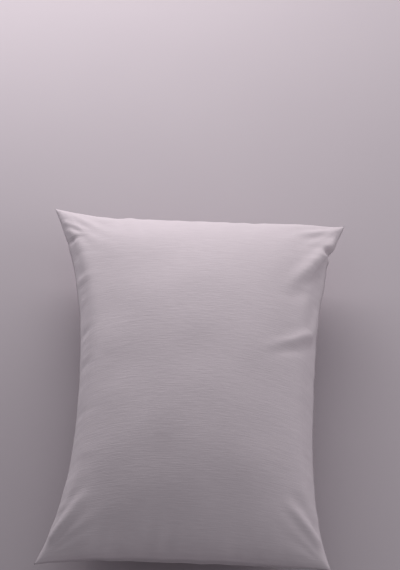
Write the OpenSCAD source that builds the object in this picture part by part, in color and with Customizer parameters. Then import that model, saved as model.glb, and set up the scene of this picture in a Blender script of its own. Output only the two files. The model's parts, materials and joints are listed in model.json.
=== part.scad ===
// Bed pillow in a plain pillowcase of the tuck-in kind, made for a 500 x 700 mm bed pillow.
// It lies on its back panel, with +Z up, X across its width and Y along its length. The closed
// end is at +Y, and the mouth, with the tuck-in flap behind it, at -Y. The origin is on the
// surface that it lies on, under the middle of the pillow.
//
// Each cloth piece is the same pillow form drawn smaller: "inset" is how far it lies inside the
// case's outside in plan, and "sink" how far it lies inside it in height. All pieces share one
// grid of rows and columns, so plies that lie on each other meet face to face.

/* [Filled pillow] */
// Width of the filled case, between the corner tips
pillow_w = 490; // [400:5:600]
// Length of the filled case, between the corner tips
pillow_l = 680; // [560:5:900]
// Rise of the crown above the seam
crown_h = 108; // [70:1:140]
// Depth of the underside below the seam
belly_h = 86; // [50:1:110]
// How far the filling draws in the middle of each long side
side_draw = 42; // [20:1:60]
// How far the filling draws in the middle of each end
end_draw = 16; // [5:1:40]

/* [Pillowcase] */
// Thickness of the case cloth
case_cloth = 0.6; // [0.4:0.05:0.8]
// Width of the seam allowances inside the case
allowance_w = 9; // [6:0.5:12]
// How far the back panel's free edge stands back from the fold of the mouth
mouth_setback = 15; // [10:1:25]
// Width of the mouth's hem
mouth_hem_w = 25; // [15:1:40]
// Depth of the tuck-in flap behind the mouth
flap_depth = 150; // [110:5:200]
// Width of the flap's hem
flap_hem_w = 12; // [8:1:20]
// Length of each bar tack at the mouth's corners
bartack_l = 8; // [5:1:12]
// Width and length of the case's care label
case_label = [30, 45]; // [20:1:60]

/* [Insert] */
// Thickness of the ticking
ticking_cloth = 0.4; // [0.3:0.05:0.6]
// Radius of the cord inside the piping
cord_r = 1.6; // [1.2:0.1:2.5]
// Width of the piping's flange, which is sewn into the seam
flange_w = 8; // [6:0.5:10]
// Gap between the filling and the ticking's seam
fill_gap = 10; // [8:1:16]
// Share of the crown that lies above the middle layer of filling
top_share = 0.4; // [0.3:0.05:0.5]
// Length of the stretch of end seam that is closed after filling
closing_l = 160; // [120:5:220]
// Width of the insert's care label along the seam
insert_label_w = 32; // [20:1:50]

/* [Sewing] */
// Radius of the sewing thread
thread_r = 0.3; // [0.2:0.05:0.4]
// How far a hem's row of stitches lies from the hem's inner edge
hem_stitch_in = 3; // [2:0.5:5]
// How far the seam's row of stitches lies from the case's edge
seam_stitch_in = 5.4; // [4.8:0.2:5.8]

/* [Hidden] */

cotton = "#cfc4ca";
cotton_inside = "#c3b8be";
thread_colour = "#d9d0d4";
ticking_white = "#ece9e6";
piping_white = "#dfdbd8";
fibre_white = "#f6f5f2";
label_white = "#f4f2ee";

// exponents of the pillow's form: across, along, how full its shoulders are, its drawn-in edges
across_power = 2.2;
along_power = 2.6;
fullness = 0.6;
edge_power = 2.6;
// the underside is this much steeper than the crown, until it lies flat on the surface
belly_press = 1.5;

// clearances and small thicknesses
flap_gap = 0.4;
insert_clear = 0.6;
insert_side_gap = 2.8;
ply_gap = 0.05;
fibre_gap = 1;
fibre_edge_h = 2;
bartack_w = 2;
bartack_h = 0.7;
label_t = 0.3;
label_behind_flap = 15;
label_off_middle = 60;
mouth_row = 4;
corner_stop = 14;
eps = 1e-6;

half_w = pillow_w / 2;
half_l = pillow_l / 2;
allowance_t = 2 * case_cloth;
seam_z = belly_h;
front_seam_z = seam_z + allowance_t;

// the stack of plies on the underside, from the outside in
hem_t = 2 * case_cloth;
flap_lay = case_cloth + hem_t + flap_gap;
flap_hem_lay = flap_lay + case_cloth;
insert_sink = flap_hem_lay + hem_t + 2 * thread_r + insert_clear;

// the insert's edge, from the outside in
cover_r = cord_r + ply_gap + ticking_cloth;
flange_half_t = ticking_cloth + ply_gap;
piping_inset = allowance_w + insert_side_gap + cover_r;
groove_w = 2 * thread_r + 4 * ply_gap;
ticking_inset = piping_inset + cover_r + groove_w;
ticking_top_z = seam_z + flange_half_t;
ticking_bottom_z = seam_z - flange_half_t;
ticking_crown = front_seam_z + crown_h - insert_sink - ticking_top_z;
ticking_belly = ticking_bottom_z - insert_sink;
fill_inset = ticking_inset + ticking_cloth + fill_gap;

// rows across the pillow, from the mouth to the closed end, and columns from left to right
function from_mouth(mm) = mm / half_l - 1;
mouth_v = from_mouth(mouth_setback);
hem_stitch_v = from_mouth(mouth_setback + mouth_hem_w - hem_stitch_in);
hem_v = from_mouth(mouth_setback + mouth_hem_w);
flap_hem_v = from_mouth(flap_depth - flap_hem_w);
flap_stitch_v = from_mouth(flap_depth - flap_hem_w + hem_stitch_in);
flap_v = from_mouth(flap_depth);
bartack_v = from_mouth(mouth_setback);
flap_steps = 3;
body_steps = 14;
columns_each_side = 9;

ROWS = concat(
    [-1, from_mouth(mouth_row), mouth_v, hem_stitch_v, hem_v],
    [for (i = [1 : flap_steps - 1]) hem_v + (flap_hem_v - hem_v) * i / flap_steps],
    [flap_hem_v, flap_stitch_v, flap_v],
    [for (i = [1 : body_steps]) flap_v + (1 - flap_v) * sin(90 * i / body_steps)]
);
COLUMNS = [for (i = [-columns_each_side : columns_each_side]) sin(90 * i / columns_each_side)];
INNER_COLUMNS = [for (u = COLUMNS) if (abs(u) < 1 - eps) u];
function rows_between(low, high) = [for (v = ROWS) if (v > low - eps && v < high + eps) v];

// the pillow's form: u and v run from -1 to 1 across it and along it
function edge_x(v) = half_w - side_draw * (1 - pow(abs(v), edge_power));
function edge_y(u) = half_l - end_draw * (1 - pow(abs(u), edge_power));
function rise(u, v) =
    pow(max(0, (1 - pow(abs(u), across_power)) * (1 - pow(abs(v), along_power))), fullness);
function fall(u, v) = min(1, belly_press * rise(u, v));
function place(u, v, inset, z) = [u * (edge_x(v) - inset), v * (edge_y(u) - inset), z];

// grids of points over and under a seam: base is the seam's height and depth its full rise or fall
function over(us, vs, inset, base, depth) =
    [for (v = vs) [for (u = us) place(u, v, inset, base + depth * rise(u, v))]];
function under(us, vs, inset, base, depth) =
    [for (v = vs) [for (u = us) place(u, v, inset, base - depth * fall(u, v))]];

// the case's own skins, by how far they lie inside its outside
function front_skin(inset) = over(COLUMNS, ROWS, inset, front_seam_z, crown_h - inset);
function back_skin(vs, inset) = under(COLUMNS, vs, inset, seam_z, belly_h - inset);

// faces of the solid between an upper and a lower grid of the same size
function quad(a, b, c, d) = [[a, b, c], [a, c, d]];
function slab_faces(rows, columns) =
    let (
        up = function (r, c) r * columns + c,
        low = function (r, c) rows * columns + r * columns + c,
        last_r = rows - 1,
        last_c = columns - 1
    )
    concat(
        [for (r = [0 : last_r - 1])
            each quad(up(r + 1, 0), up(r, 0), low(r, 0), low(r + 1, 0))],
        [for (r = [0 : last_r - 1])
            each quad(up(r, last_c), up(r + 1, last_c), low(r + 1, last_c), low(r, last_c))],
        [for (c = [0 : last_c - 1])
            each quad(up(0, c), up(0, c + 1), low(0, c + 1), low(0, c))],
        [for (c = [0 : last_c - 1])
            each quad(up(last_r, c + 1), up(last_r, c), low(last_r, c), low(last_r, c + 1))],
        [for (r = [0 : last_r - 1]) for (c = [0 : last_c - 1])
            each quad(up(r, c), up(r + 1, c), up(r + 1, c + 1), up(r, c + 1))],
        [for (r = [0 : last_r - 1]) for (c = [0 : last_c - 1])
            each [[low(r, c), low(r + 1, c + 1), low(r + 1, c)],
                  [low(r, c), low(r, c + 1), low(r + 1, c + 1)]]]
    );

module slab(upper, lower) {
    polyhedron(
        points = concat([for (row = upper) each row], [for (row = lower) each row]),
        faces = slab_faces(len(upper), len(upper[0])),
        convexity = 6
    );
}

// a bar of rings of points, each ring in the order that shows the bar's outside on its right
module bar(rings, closed) {
    count = len(rings);
    sides = len(rings[0]);
    spans = closed ? count : count - 1;
    walls = [
        for (i = [0 : spans - 1]) for (k = [0 : sides - 1])
            let (i2 = (i + 1) % count, k2 = (k + 1) % sides)
            each quad(i * sides + k, i * sides + k2, i2 * sides + k2, i2 * sides + k)
    ];
    caps = closed ? [] : [
        [for (k = [sides - 1 : -1 : 0]) k],
        [for (k = [0 : sides - 1]) (count - 1) * sides + k]
    ];
    polyhedron(points = [for (ring = rings) each ring], faces = concat(walls, caps), convexity = 6);
}

// paths round the pillow's outline, anticlockwise from above
mouth_path = [for (u = COLUMNS) [u, -1]];
right_path = [for (v = ROWS) [1, v]];
closed_end_path = [for (i = [len(COLUMNS) - 1 : -1 : 0]) [COLUMNS[i], 1]];
left_path = [for (i = [len(ROWS) - 1 : -1 : 0]) [-1, ROWS[i]]];
function without_last(path) = [for (i = [0 : len(path) - 2]) path[i]];
outline_path = concat(without_last(mouth_path), without_last(right_path),
    without_last(closed_end_path), without_last(left_path));
function short_of_corners(path, along) = [
    for (p = path) if (abs(p[along]) < 1 - corner_stop / (along == 0 ? half_w : half_l)) p
];

// a section of [inset, z] points, clockwise, carried along a path on the outline
module edge_sweep(path, section, closed = false) {
    bar([for (p = path) [for (s = section) place(p[0], p[1], s[0], s[1])]], closed);
}

function box_section(inset, width, z, height) = [
    [inset, z], [inset, z + height], [inset + width, z + height], [inset + width, z]
];
function round_section(inset, z, r, sides = 6) =
    [for (k = [0 : sides - 1]) [inset + r * cos(360 * k / sides), z - r * sin(360 * k / sides)]];

// a row of stitches across the pillow's underside, at one row of the grid
module underside_stitches(v, lay) {
    bar([
        for (i = [len(INNER_COLUMNS) - 1 : -1 : 0]) [
            for (k = [0 : 5])
                let (
                    depth = lay + thread_r * cos(60 * k),
                    row = v + thread_r * sin(60 * k) / half_l
                )
                place(INNER_COLUMNS[i], row, depth,
                    seam_z - (belly_h - depth) * fall(INNER_COLUMNS[i], row))
        ]
    ], false);
}

// ---- pillowcase ----

module front_panel() {
    color(cotton) slab(front_skin(0), front_skin(case_cloth));
}

module back_panel() {
    rows = rows_between(mouth_v, 1);
    color(cotton) slab(back_skin(rows, case_cloth), back_skin(rows, 0));
}

// the back panel's free edge, turned in twice
module mouth_hem() {
    rows = rows_between(mouth_v, hem_v);
    color(cotton_inside) slab(back_skin(rows, case_cloth + hem_t), back_skin(rows, case_cloth));
}

// the front panel's cloth, folded round at the mouth and tucked in over the insert's end
module envelope_flap() {
    rows = rows_between(from_mouth(mouth_row), flap_v);
    function lay(v) = flap_lay * min(1, (v + 1) / (mouth_v + 1));
    function fold_rows(inset) = [
        for (z = [front_seam_z, seam_z]) [for (u = COLUMNS) place(u, -1, inset, z)]
    ];
    function tucked(ply) =
        [for (v = rows) each under(COLUMNS, [v], lay(v) + ply, seam_z, belly_h - lay(v) - ply)];
    color(cotton_inside)
        slab(concat(fold_rows(case_cloth), tucked(case_cloth)), concat(fold_rows(0), tucked(0)));
}

module flap_hem() {
    rows = rows_between(flap_hem_v, flap_v);
    color(cotton_inside)
        slab(back_skin(rows, flap_hem_lay + hem_t), back_skin(rows, flap_hem_lay));
}

// the two overlocked plies inside a seam, which the front and back panels meet
module seam_allowance(path) {
    color(cotton_inside) edge_sweep(path, box_section(0, allowance_w, seam_z, allowance_t));
}
module left_seam_allowance() { seam_allowance(left_path); }
module right_seam_allowance() { seam_allowance(right_path); }
module closed_end_seam_allowance() { seam_allowance(closed_end_path); }

module seam_thread(path, along) {
    color(thread_colour)
        edge_sweep(short_of_corners(path, along),
            round_section(seam_stitch_in, front_seam_z + thread_r, thread_r));
}
module left_seam_thread() { seam_thread(left_path, 1); }
module right_seam_thread() { seam_thread(right_path, 1); }
module closed_end_seam_thread() { seam_thread(closed_end_path, 0); }

module mouth_hem_thread() {
    color(thread_colour) underside_stitches(hem_stitch_v, -thread_r - ply_gap);
}
module flap_hem_thread() {
    color(thread_colour)
        underside_stitches(flap_stitch_v, flap_hem_lay + hem_t + thread_r + ply_gap);
}

// one bar tack at each corner of the mouth, over the seam allowance
module mouth_bartacks() {
    reach = bartack_l / half_l;
    section = box_section(seam_stitch_in - 2 * thread_r - bartack_w - case_cloth, bartack_w,
        front_seam_z, bartack_h);
    color(thread_colour) {
        edge_sweep([[1, bartack_v], [1, bartack_v + reach]], section);
        edge_sweep([[-1, bartack_v + reach], [-1, bartack_v]], section);
    }
}

module case_care_label() {
    y = flap_depth + label_behind_flap - half_l;
    color(label_white) translate([-label_off_middle - case_label[0] / 2, y, case_cloth])
        cube([case_label[0], case_label[1], label_t]);
}

// ---- insert ----

module ticking_top() {
    function skin(ply) =
        over(COLUMNS, ROWS, ticking_inset + ply, ticking_top_z, ticking_crown - ply);
    color(ticking_white) slab(skin(0), skin(ticking_cloth));
}

module ticking_bottom() {
    function skin(ply) =
        under(COLUMNS, ROWS, ticking_inset + ply, ticking_bottom_z, ticking_belly - ply);
    color(ticking_white) slab(skin(ticking_cloth), skin(0));
}

// a bias strip wrapped round the cord, with both its edges sewn into the seam as a flange
module piping_cover() {
    arc_steps = 10;
    bore_r = cord_r + ply_gap;
    outer_start = asin(flange_half_t / cover_r);
    bore_start = asin(ply_gap / bore_r);
    flange_end = piping_inset + cover_r + flange_w;
    function arc(r, start, turn) = [
        for (i = [0 : arc_steps])
            let (a = start + (360 - 2 * start) * i / arc_steps)
            [piping_inset + r * cos(a), seam_z + turn * r * sin(a)]
    ];
    section = concat(
        [[flange_end, seam_z - flange_half_t]],
        arc(cover_r, outer_start, -1),
        [[flange_end, seam_z + flange_half_t], [flange_end, seam_z + ply_gap]],
        arc(bore_r, bore_start, 1),
        [[flange_end, seam_z - ply_gap]]
    );
    color(piping_white) edge_sweep(outline_path, section, true);
}

module piping_cord() {
    color(fibre_white)
        edge_sweep(outline_path, round_section(piping_inset, seam_z, cord_r - ply_gap), true);
}

// the seam's stitches, in the groove between the piping and the ticking
groove_inset = ticking_inset - groove_w / 2;
module ticking_seam_thread() {
    section = round_section(groove_inset, ticking_top_z + thread_r, thread_r);
    color(thread_colour) edge_sweep(outline_path, section, true);
}

module ticking_closing_thread() {
    steps = 6;
    reach = closing_l / 2 / half_w;
    path = [for (i = [-steps : steps]) [reach * i / steps, -1]];
    section = round_section(groove_inset, ticking_bottom_z - thread_r, thread_r);
    color(thread_colour) edge_sweep(path, section);
}

// sewn into the end seam at the mouth, and lying out over the piping
module insert_care_label() {
    middle = label_off_middle / half_w;
    reach = insert_label_w / 2 / half_w;
    outer = allowance_w / 3;
    section = box_section(outer, ticking_inset - groove_w - outer, seam_z + cover_r, label_t);
    color(label_white) edge_sweep([[middle - reach, -1], [middle + reach, -1]], section);
}

// three layers of carded fibre, each with a thin edge where the layers meet at the seam
fill_crown = ticking_crown - ticking_cloth - fibre_gap;
fill_belly = ticking_belly - ticking_cloth - fibre_gap;
fibre_half_edge = fibre_edge_h / 2;
function fill_over(edge, share) =
    over(COLUMNS, ROWS, fill_inset, seam_z + edge, share * fill_crown - edge);
function fill_under(edge, share) =
    under(COLUMNS, ROWS, fill_inset, seam_z - edge, share * fill_belly - edge);
layer_edge = fibre_half_edge + fibre_gap / 2;

module fibre_top_layer() {
    color(fibre_white)
        slab(fill_over(layer_edge + fibre_edge_h, 1), fill_over(layer_edge, 1 - top_share));
}

module fibre_core() {
    core_crown = 1 - top_share - fibre_gap / fill_crown;
    core_belly = 1 - top_share - fibre_gap / fill_belly;
    color(fibre_white)
        slab(fill_over(fibre_half_edge, core_crown), fill_under(fibre_half_edge, core_belly));
}

module fibre_bottom_layer() {
    color(fibre_white)
        slab(fill_under(layer_edge, 1 - top_share), fill_under(layer_edge + fibre_edge_h, 1));
}

front_panel();
back_panel();
mouth_hem();
envelope_flap();
flap_hem();
left_seam_allowance();
right_seam_allowance();
closed_end_seam_allowance();
left_seam_thread();
right_seam_thread();
closed_end_seam_thread();
mouth_hem_thread();
flap_hem_thread();
mouth_bartacks();
case_care_label();
ticking_top();
ticking_bottom();
piping_cover();
piping_cord();
ticking_seam_thread();
ticking_closing_thread();
insert_care_label();
fibre_top_layer();
fibre_core();
fibre_bottom_layer();
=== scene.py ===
"""A stuffed bed pillow in a plain tuck-in pillowcase, lying on a pale floor.

The case is blown up by a cloth simulation from two flat panels, and every other piece is the same
form drawn smaller. Lengths are in metres, with X across the pillow, Y along it and Z up. The
closed end is at +Y and the mouth at -Y.
"""
import json
import logging
import math
from dataclasses import dataclass, field
from enum import Enum

import bmesh
import bpy
import numpy as np
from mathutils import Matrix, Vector

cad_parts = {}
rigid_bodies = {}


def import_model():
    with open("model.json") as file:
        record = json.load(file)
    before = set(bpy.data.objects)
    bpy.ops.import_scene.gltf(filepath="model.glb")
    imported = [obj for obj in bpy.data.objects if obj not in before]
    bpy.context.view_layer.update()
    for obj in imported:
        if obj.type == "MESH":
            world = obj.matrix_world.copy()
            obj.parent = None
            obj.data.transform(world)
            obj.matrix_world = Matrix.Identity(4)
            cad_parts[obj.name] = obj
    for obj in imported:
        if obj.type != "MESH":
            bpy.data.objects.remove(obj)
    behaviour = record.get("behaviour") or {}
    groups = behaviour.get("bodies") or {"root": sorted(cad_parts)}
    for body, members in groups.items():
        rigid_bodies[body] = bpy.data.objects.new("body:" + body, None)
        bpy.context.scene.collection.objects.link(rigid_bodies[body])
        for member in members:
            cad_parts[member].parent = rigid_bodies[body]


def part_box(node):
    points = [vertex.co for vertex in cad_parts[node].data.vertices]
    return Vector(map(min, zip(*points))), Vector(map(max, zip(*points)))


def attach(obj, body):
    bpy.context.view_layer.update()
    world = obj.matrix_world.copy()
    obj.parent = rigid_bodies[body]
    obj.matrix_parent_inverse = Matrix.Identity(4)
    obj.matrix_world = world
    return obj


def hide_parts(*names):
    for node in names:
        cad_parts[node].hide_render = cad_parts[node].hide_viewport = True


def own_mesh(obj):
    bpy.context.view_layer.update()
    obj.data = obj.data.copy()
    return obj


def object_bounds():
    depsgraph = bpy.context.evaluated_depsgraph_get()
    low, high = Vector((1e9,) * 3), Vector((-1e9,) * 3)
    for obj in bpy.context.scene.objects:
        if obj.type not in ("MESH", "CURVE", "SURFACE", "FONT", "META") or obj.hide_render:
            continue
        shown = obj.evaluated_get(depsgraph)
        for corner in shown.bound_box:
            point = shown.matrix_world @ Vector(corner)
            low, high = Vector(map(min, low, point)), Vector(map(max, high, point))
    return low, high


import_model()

CAD_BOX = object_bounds()
CASE = "case"
INSERT = "insert"
LOG = logging.getLogger("pillow")

HALF_W = CAD_BOX[1].x
HALF_L = CAD_BOX[1].y
SEAM_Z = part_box("left_seam_allowance")[0].z
SEAM_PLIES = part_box("left_seam_allowance")[1].z - SEAM_Z
CROWN = CAD_BOX[1].z - SEAM_Z - SEAM_PLIES

UP = np.array([0.0, 0.0, 1.0])
# exponents of the form: across, along, and how full its shoulders are
ACROSS_POWER, ALONG_POWER, FULLNESS = 2.2, 2.6, 0.6
# how far a row of stitches stands over the seam allowance it is sewn through
STITCH_RIDE = 0.00022


class Side(Enum):
    """The two faces of the pillow."""

    FRONT = 1
    BACK = -1


class Edge(Enum):
    """The four lengths of the outline, each as (row, column), or None where it runs along."""

    MOUTH = (0, None)
    CLOSED_END = (-1, None)
    LEFT = (None, 0)
    RIGHT = (None, -1)

    @property
    def place(self) -> tuple:
        """This edge's index in a grid of points."""
        return tuple(slice(None) if number is None else number for number in self.value)


# ---- small tools on grids of points ----


def ramp(x: np.ndarray, low: float, high: float) -> np.ndarray:
    """Ease from 0 to 1 as x goes from low to high.

    Args:
        x: The values to ease.
        low: Where the result leaves 0.
        high: Where the result reaches 1.

    Returns:
        The eased values.
    """
    t = np.clip((x - low) / (high - low), 0.0, 1.0)
    return t * t * (3.0 - 2.0 * t)


def ripple(
    x: np.ndarray, y: np.ndarray, lengths: tuple[float, float], seed: int, waves: int = 24
) -> np.ndarray:
    """Smooth, aimless unevenness of about unit size.

    Args:
        x: First coordinates, in metres.
        y: Second coordinates, in metres.
        lengths: Shortest and longest wave.
        seed: Seed of the draw.
        waves: How many waves are added up.

    Returns:
        One value for each point.
    """
    rng = np.random.default_rng(seed)
    total = np.zeros(np.broadcast(x, y).shape)
    for _ in range(waves):
        k = 2.0 * math.pi / rng.uniform(*lengths)
        turn = rng.uniform(0.0, 2.0 * math.pi)
        total += np.sin(k * (x * math.cos(turn) + y * math.sin(turn)) + rng.uniform(0.0, 6.3))
    return total / math.sqrt(waves / 2.0)


def doubled(grid: np.ndarray) -> np.ndarray:
    """Put a smooth new row and column between each two of a grid of points.

    Args:
        grid: Points as (rows, columns, 3).

    Returns:
        The finer grid, which passes through every point of the old one.
    """
    for axis in (0, 1):
        g = np.moveaxis(grid, axis, 0)
        before = np.concatenate([2 * g[:1] - g[1:2], g[:-2]])
        after = np.concatenate([g[2:], 2 * g[-1:] - g[-2:-1]])
        middle = (9.0 * (g[:-1] + g[1:]) - before - after) / 16.0
        fine = np.empty((2 * len(g) - 1, *g.shape[1:]))
        fine[0::2], fine[1::2] = g, middle
        grid = np.moveaxis(fine, 0, axis)
    return grid


def unit(vectors: np.ndarray) -> np.ndarray:
    """Scale each vector to length 1."""
    return vectors / np.maximum(np.linalg.norm(vectors, axis=-1, keepdims=True), 1e-12)


def grid_normals(grid: np.ndarray) -> np.ndarray:
    """Upward normals of a grid whose rows run along +Y and columns along +X."""
    return unit(np.cross(np.gradient(grid, axis=1), np.gradient(grid, axis=0)))


def link(name: str, data: bpy.types.ID) -> bpy.types.Object:
    """Make an object and put it in the scene.

    Args:
        name: Name of the object.
        data: Its mesh, light or camera.

    Returns:
        The new object.
    """
    thing = bpy.data.objects.new(name, data)
    bpy.context.scene.collection.objects.link(thing)
    return thing


def mesh_object(
    name: str,
    points: np.ndarray,
    faces: list,
    uvs: np.ndarray | None = None,
    flat_from: int | None = None,
) -> bpy.types.Object:
    """Make a smooth-shaded object from points and faces.

    Args:
        name: Name of the object and its mesh.
        points: The vertices.
        faces: Vertex numbers of each face.
        uvs: Place of each vertex on the flat cloth, in metres.
        flat_from: Number of the first face that is shaded flat.

    Returns:
        The new object.
    """
    mesh = bpy.data.meshes.new(name)
    mesh.from_pydata(np.asarray(points, float).reshape(-1, 3).tolist(), [], faces)
    mesh.update()
    smooth = np.ones(len(mesh.polygons), dtype=bool)
    if flat_from is not None:
        smooth[flat_from:] = False
    mesh.polygons.foreach_set("use_smooth", smooth)
    if uvs is not None:
        corners = np.empty(len(mesh.loops), dtype=np.int32)
        mesh.loops.foreach_get("vertex_index", corners)
        layer = mesh.uv_layers.new(name="cloth")
        layer.data.foreach_set("uv", uvs.reshape(-1, 2)[corners].astype(np.float32).ravel())
    return link(name, mesh)


def cloth_slab(
    name: str, upper: np.ndarray, lower: np.ndarray, uvs: np.ndarray
) -> bpy.types.Object:
    """Make the closed solid between an upper and a lower grid.

    Args:
        name: Name of the object.
        upper: Upper points as (rows, columns, 3), rows along +Y and columns along +X.
        lower: Lower points, in the same order.
        uvs: Place of each grid point on the flat cloth, in metres.

    Returns:
        The new object, its rim shaded flat.
    """
    rows, columns = upper.shape[:2]
    n = np.arange(rows * columns).reshape(rows, columns)
    m = n + rows * columns
    a, b, c, d = n[:-1, :-1], n[:-1, 1:], n[1:, 1:], n[1:, :-1]
    top = np.stack([a, b, c, d], axis=-1).reshape(-1, 4)
    bottom = top[:, ::-1] + rows * columns
    rim = []
    sides = (
        (n[0], m[0]),
        (n[:, -1], m[:, -1]),
        (n[-1, ::-1], m[-1, ::-1]),
        (n[::-1, 0], m[::-1, 0]),
    )
    for up, low in sides:
        rim.append(np.stack([up[1:], up[:-1], low[:-1], low[1:]], axis=-1))
    faces = np.concatenate([top, bottom, *rim]).tolist()
    points = np.concatenate([upper.reshape(-1, 3), lower.reshape(-1, 3)])
    both = np.concatenate([uvs.reshape(-1, 2)] * 2)
    return mesh_object(name, points, faces, both, 2 * len(top))


def ring_tube(
    name: str, rings: np.ndarray, length_uv: np.ndarray, closed: bool
) -> bpy.types.Object:
    """Make a tube from rings of points.

    Args:
        name: Name of the object.
        rings: Points as (rings, points round, 3).
        length_uv: How far along the tube each ring is, in metres.
        closed: Whether the last ring meets the first.

    Returns:
        The new object.
    """
    count, sides = rings.shape[:2]
    spans = count if closed else count - 1
    faces = []
    for i in range(spans):
        this, following = i * sides, (i + 1) % count * sides
        for k in range(sides):
            beside = (k + 1) % sides
            faces.append((this + k, following + k, following + beside, this + beside))
    if not closed:
        faces += [tuple(range(sides)), tuple(reversed(range((count - 1) * sides, count * sides)))]
    around = np.linalg.norm(np.diff(rings[0], axis=0, append=rings[0][:1]), axis=1).sum()
    across_uv = np.linspace(0.0, around, sides)
    uvs = np.stack(np.broadcast_arrays(length_uv[:, None], across_uv[None, :]), axis=-1)
    tube = mesh_object(name, rings, faces, uvs)
    face_out(tube)
    return tube


def face_out(thing: bpy.types.Object) -> None:
    """Turn a closed mesh's faces outwards.

    Args:
        thing: The object whose mesh is turned.
    """
    work = bmesh.new()
    work.from_mesh(thing.data)
    bmesh.ops.recalc_face_normals(work, faces=work.faces)
    work.to_mesh(thing.data)
    work.free()


# ---- the pillow's form ----


@dataclass
class PanelSimulation:
    """Two flat panels, sewn together along their edges and blown up until the cloth is taut."""

    width: float = 0.5
    length: float = 0.7
    columns: int = 84
    rows: int = 118
    frames: int = 24
    volume: float = 0.031
    pressure: float = 0.15
    pressure_factor: float = 6.0
    stretch_stiffness: float = 60.0
    shear_stiffness: float = 20.0
    bend_stiffness: float = 2.0
    damping: float = 15.0
    cloth_mass: float = 0.15
    start_half: tuple[float, float] = (0.246, 0.345)
    start_draw: tuple[float, float] = (0.030, 0.012)
    start_height: tuple[float, float] = (0.098, 0.088)
    flat_bulge: float = 0.0024

    def start(self, u: np.ndarray, v: np.ndarray, side: Side) -> np.ndarray:
        """Place the panels roughly, before the cloth moves.

        Args:
            u: Places across the pillow, from -1 to 1.
            v: Places along the pillow, from -1 to 1.
            side: Which panel.

        Returns:
            The points.
        """
        height = self.start_height[0] if side is Side.FRONT else -self.start_height[1]
        across, along = 1 - np.abs(u) ** ACROSS_POWER, 1 - np.abs(v) ** ALONG_POWER
        full = np.maximum(0.0, across * along) ** FULLNESS
        x = u * (self.start_half[0] - self.start_draw[0] * along)
        y = v * (self.start_half[1] - self.start_draw[1] * (1 - np.abs(u) ** ALONG_POWER))
        return np.stack([x, y, height * full], axis=-1)

    def run(self) -> tuple[np.ndarray, np.ndarray]:
        """Returns:
            The front and back panels' points, each as (rows, columns, 3).
        """
        places = [np.linspace(-1, 1, count + 1) for count in (self.rows, self.columns)]
        v, u = np.meshgrid(*places, indexing="ij")
        grids = {side: self.start(u, v, side) for side in Side}
        inner = (slice(1, -1), slice(1, -1))
        number = {side: np.arange(u.size).reshape(u.shape) for side in Side}
        number[Side.BACK][inner] = u.size + np.arange(u[inner].size).reshape(u[inner].shape)
        points = np.concatenate(
            [grids[Side.FRONT].reshape(-1, 3), grids[Side.BACK][inner].reshape(-1, 3)]
        )
        bulge = self.flat_bulge * np.sqrt(np.maximum(0.0, (1 - u * u) * (1 - v * v)))
        flat = {
            side: np.stack([u * self.width / 2, v * self.length / 2, side.value * bulge], axis=-1)
            for side in Side
        }
        cut = np.concatenate(
            [flat[Side.FRONT].reshape(-1, 3), flat[Side.BACK][inner].reshape(-1, 3)]
        )
        f, b = number[Side.FRONT], number[Side.BACK]
        faces = np.concatenate([
            np.stack([f[:-1, :-1], f[:-1, 1:], f[1:, 1:], f[1:, :-1]], axis=-1).reshape(-1, 4),
            np.stack([b[:-1, :-1], b[1:, :-1], b[1:, 1:], b[:-1, 1:]], axis=-1).reshape(-1, 4),
        ]).tolist()
        bag = mesh_object("case_simulation", points, faces)
        bag.shape_key_add(name="Basis")
        key = bag.shape_key_add(name="flat_panels")
        key.data.foreach_set("co", cut.ravel())
        self.set_cloth(bag, key)
        scene = bpy.context.scene
        for number_of_frame in range(1, self.frames + 1):
            scene.frame_set(number_of_frame)
        evaluated = bag.evaluated_get(bpy.context.evaluated_depsgraph_get())
        moved = np.empty(len(evaluated.data.vertices) * 3, dtype=np.float32)
        evaluated.data.vertices.foreach_get("co", moved)
        moved = moved.reshape(-1, 3).astype(float)
        scene.frame_set(1)
        mesh = bag.data
        bpy.data.objects.remove(bag)
        bpy.data.meshes.remove(mesh)
        return moved[f], moved[b]

    def set_cloth(self, bag: bpy.types.Object, key: bpy.types.ShapeKey) -> None:
        """Give the bag its cloth settings.

        Args:
            bag: The closed bag.
            key: The shape key that holds the flat panels, whose size the cloth keeps.
        """
        cloth = bag.modifiers.new("Cloth", "CLOTH")
        s = cloth.settings
        s.rest_shape_key = key
        s.quality = 6
        s.mass = self.cloth_mass
        s.air_damping = 1.0
        s.tension_stiffness = s.compression_stiffness = self.stretch_stiffness
        s.shear_stiffness = self.shear_stiffness
        s.bending_model = "ANGULAR"
        s.bending_stiffness = self.bend_stiffness
        s.tension_damping = s.compression_damping = s.shear_damping = self.damping
        s.bending_damping = 0.5
        s.use_pressure = s.use_pressure_volume = True
        s.uniform_pressure_force = self.pressure
        s.target_volume = self.volume
        s.pressure_factor = self.pressure_factor
        s.effector_weights.gravity = 0.0
        cloth.collision_settings.use_collision = False
        cloth.collision_settings.use_self_collision = False
        cloth.point_cache.frame_end = self.frames + 1


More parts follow.
